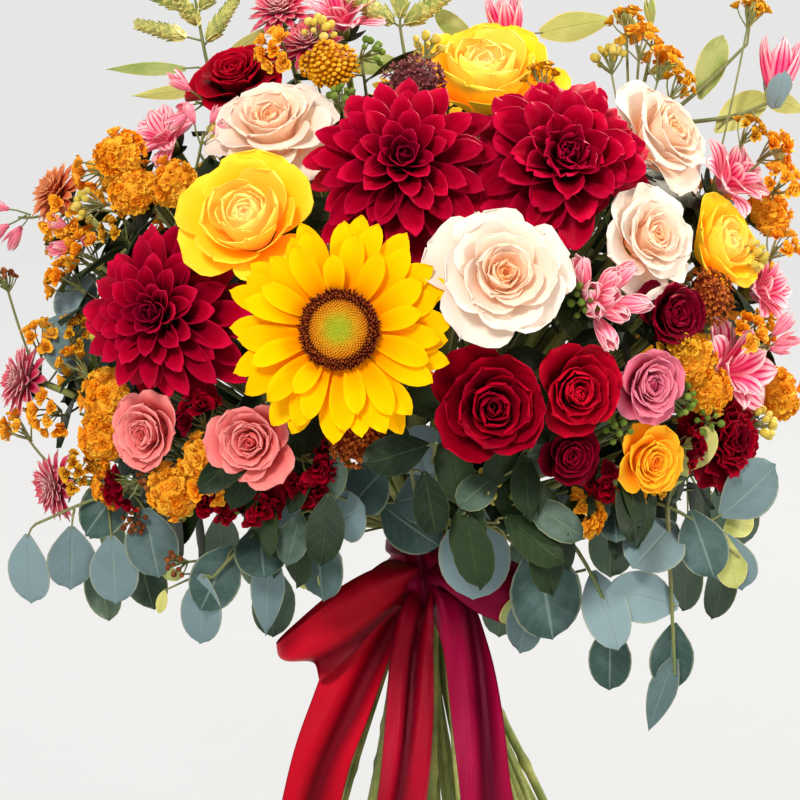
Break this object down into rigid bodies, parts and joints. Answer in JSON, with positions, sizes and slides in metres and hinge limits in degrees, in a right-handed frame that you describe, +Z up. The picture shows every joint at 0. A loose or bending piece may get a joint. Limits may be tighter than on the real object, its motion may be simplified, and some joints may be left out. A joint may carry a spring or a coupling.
{
  "type": "flower bouquet",
  "caption": "Hand-tied bouquet of mixed blooms, buds and leafy sprays with a satin ribbon bow, standing on its splayed stems.",
  "frame": {"origin": "cut end of the middle stem, on the floor plane and on the axis through the tie", "axes": "+Z up along the axis of the bouquet, from the cut stem ends to the crown; the front looks along -Y"},
  "size_m": [0.4823, 0.4222, 0.5779],
  "materials": {
    "sunflower_petals": "soft petals",
    "dahlia_left": "soft petals",
    "dahlia_top": "soft petals",
    "dahlia_right": "soft petals",
    "rose_white_centre": "soft petals",
    "rose_white_upper_left": "soft petals",
    "rose_white_upper_right": "soft petals",
    "rose_white_right": "soft petals",
    "ranunculus_left": "soft petals",
    "ranunculus_top": "soft petals",
    "ranunculus_right": "soft petals",
    "rose_crimson_large": "soft petals",
    "rose_red": "soft petals",
    "rose_crimson_small": "soft petals",
    "rose_crimson_top": "soft petals",
    "rose_crimson_right": "soft petals",
    "carnation_right": "soft petals",
    "rose_pink_left": "soft petals",
    "rose_pink_middle": "soft petals",
    "rose_pink_right": "soft petals",
    "rose_orange": "soft petals",
    "alstroemeria_right_high": "soft petals",
    "alstroemeria_right_low": "soft petals",
    "alstroemeria_right_far": "soft petals",
    "alstroemeria_top": "soft petals",
    "alstroemeria_left": "soft petals",
    "mum_left": "soft petals",
    "mum_lower_left": "soft petals",
    "mum_upper_left": "soft petals",
    "mums_top": "soft petals",
    "celosia_upper_left": "soft petals",
    "celosia_left": "soft petals",
    "celosia_right": "soft petals",
    "celosia_far_right": "soft petals",
    "marigold_right": "soft petals",
    "bud_cluster": "soft petals",
    "yarrow_top": "soft petals",
    "sedum_front": "soft petals",
    "sedum_right": "soft petals",
    "sedum_top": "soft petals",
    "dahlias_back": "soft petals",
    "roses_white_back": "soft petals",
    "roses_crimson_back": "soft petals",
    "ranunculus_back": "soft petals",
    "roses_pink_back": "soft petals",
    "roses_orange_back": "soft petals",
    "celosia_back": "soft petals",
    "mum_back": "soft petals",
    "eucalyptus_left": "waxy leaf",
    "eucalyptus_front": "waxy leaf",
    "eucalyptus_right": "waxy leaf",
    "eucalyptus_back_left": "waxy leaf",
    "eucalyptus_back_right": "waxy leaf",
    "plume_spray": "waxy leaf",
    "greens_top": "waxy leaf",
    "bud_spray": "soft petals",
    "stems": "fresh green stems",
    "ribbon_wrap": "satin",
    "ribbon_bow": "satin",
    "sunflower_disc": "soft petals"
  },
  "bodies": {
    "root": {"sunflower_petals": "sunflower_petals", "dahlia_left": "dahlia_left", "dahlia_top": "dahlia_top", "dahlia_right": "dahlia_right", "rose_white_centre": "rose_white_centre", "rose_white_upper_left": "rose_white_upper_left", "rose_white_upper_right": "rose_white_upper_right", "rose_white_right": "rose_white_right", "ranunculus_left": "ranunculus_left", "ranunculus_top": "ranunculus_top", "ranunculus_right": "ranunculus_right", "rose_crimson_large": "rose_crimson_large", "rose_red": "rose_red", "rose_crimson_small": "rose_crimson_small", "rose_crimson_top": "rose_crimson_top", "rose_crimson_right": "rose_crimson_right", "carnation_right": "carnation_right", "rose_pink_left": "rose_pink_left", "rose_pink_middle": "rose_pink_middle", "rose_pink_right": "rose_pink_right", "rose_orange": "rose_orange", "alstroemeria_right_high": "alstroemeria_right_high", "alstroemeria_right_low": "alstroemeria_right_low", "alstroemeria_right_far": "alstroemeria_right_far", "alstroemeria_top": "alstroemeria_top", "alstroemeria_left": "alstroemeria_left", "mum_left": "mum_left", "mum_lower_left": "mum_lower_left", "mum_upper_left": "mum_upper_left", "mums_top": "mums_top", "celosia_upper_left": "celosia_upper_left", "celosia_left": "celosia_left", "celosia_right": "celosia_right", "celosia_far_right": "celosia_far_right", "marigold_right": "marigold_right", "bud_cluster": "bud_cluster", "yarrow_top": "yarrow_top", "sedum_front": "sedum_front", "sedum_right": "sedum_right", "sedum_top": "sedum_top", "dahlias_back": "dahlias_back", "roses_white_back": "roses_white_back", "roses_crimson_back": "roses_crimson_back", "ranunculus_back": "ranunculus_back", "roses_pink_back": "roses_pink_back", "roses_orange_back": "roses_orange_back", "celosia_back": "celosia_back", "mum_back": "mum_back", "eucalyptus_left": "eucalyptus_left", "eucalyptus_front": "eucalyptus_front", "eucalyptus_right": "eucalyptus_right", "eucalyptus_back_left": "eucalyptus_back_left", "eucalyptus_back_right": "eucalyptus_back_right", "plume_spray": "plume_spray", "greens_top": "greens_top", "bud_spray": "bud_spray", "stems": "stems", "ribbon_wrap": "ribbon_wrap", "ribbon_bow": "ribbon_bow", "sunflower_disc": "sunflower_disc"}
  },
  "joints": []
}
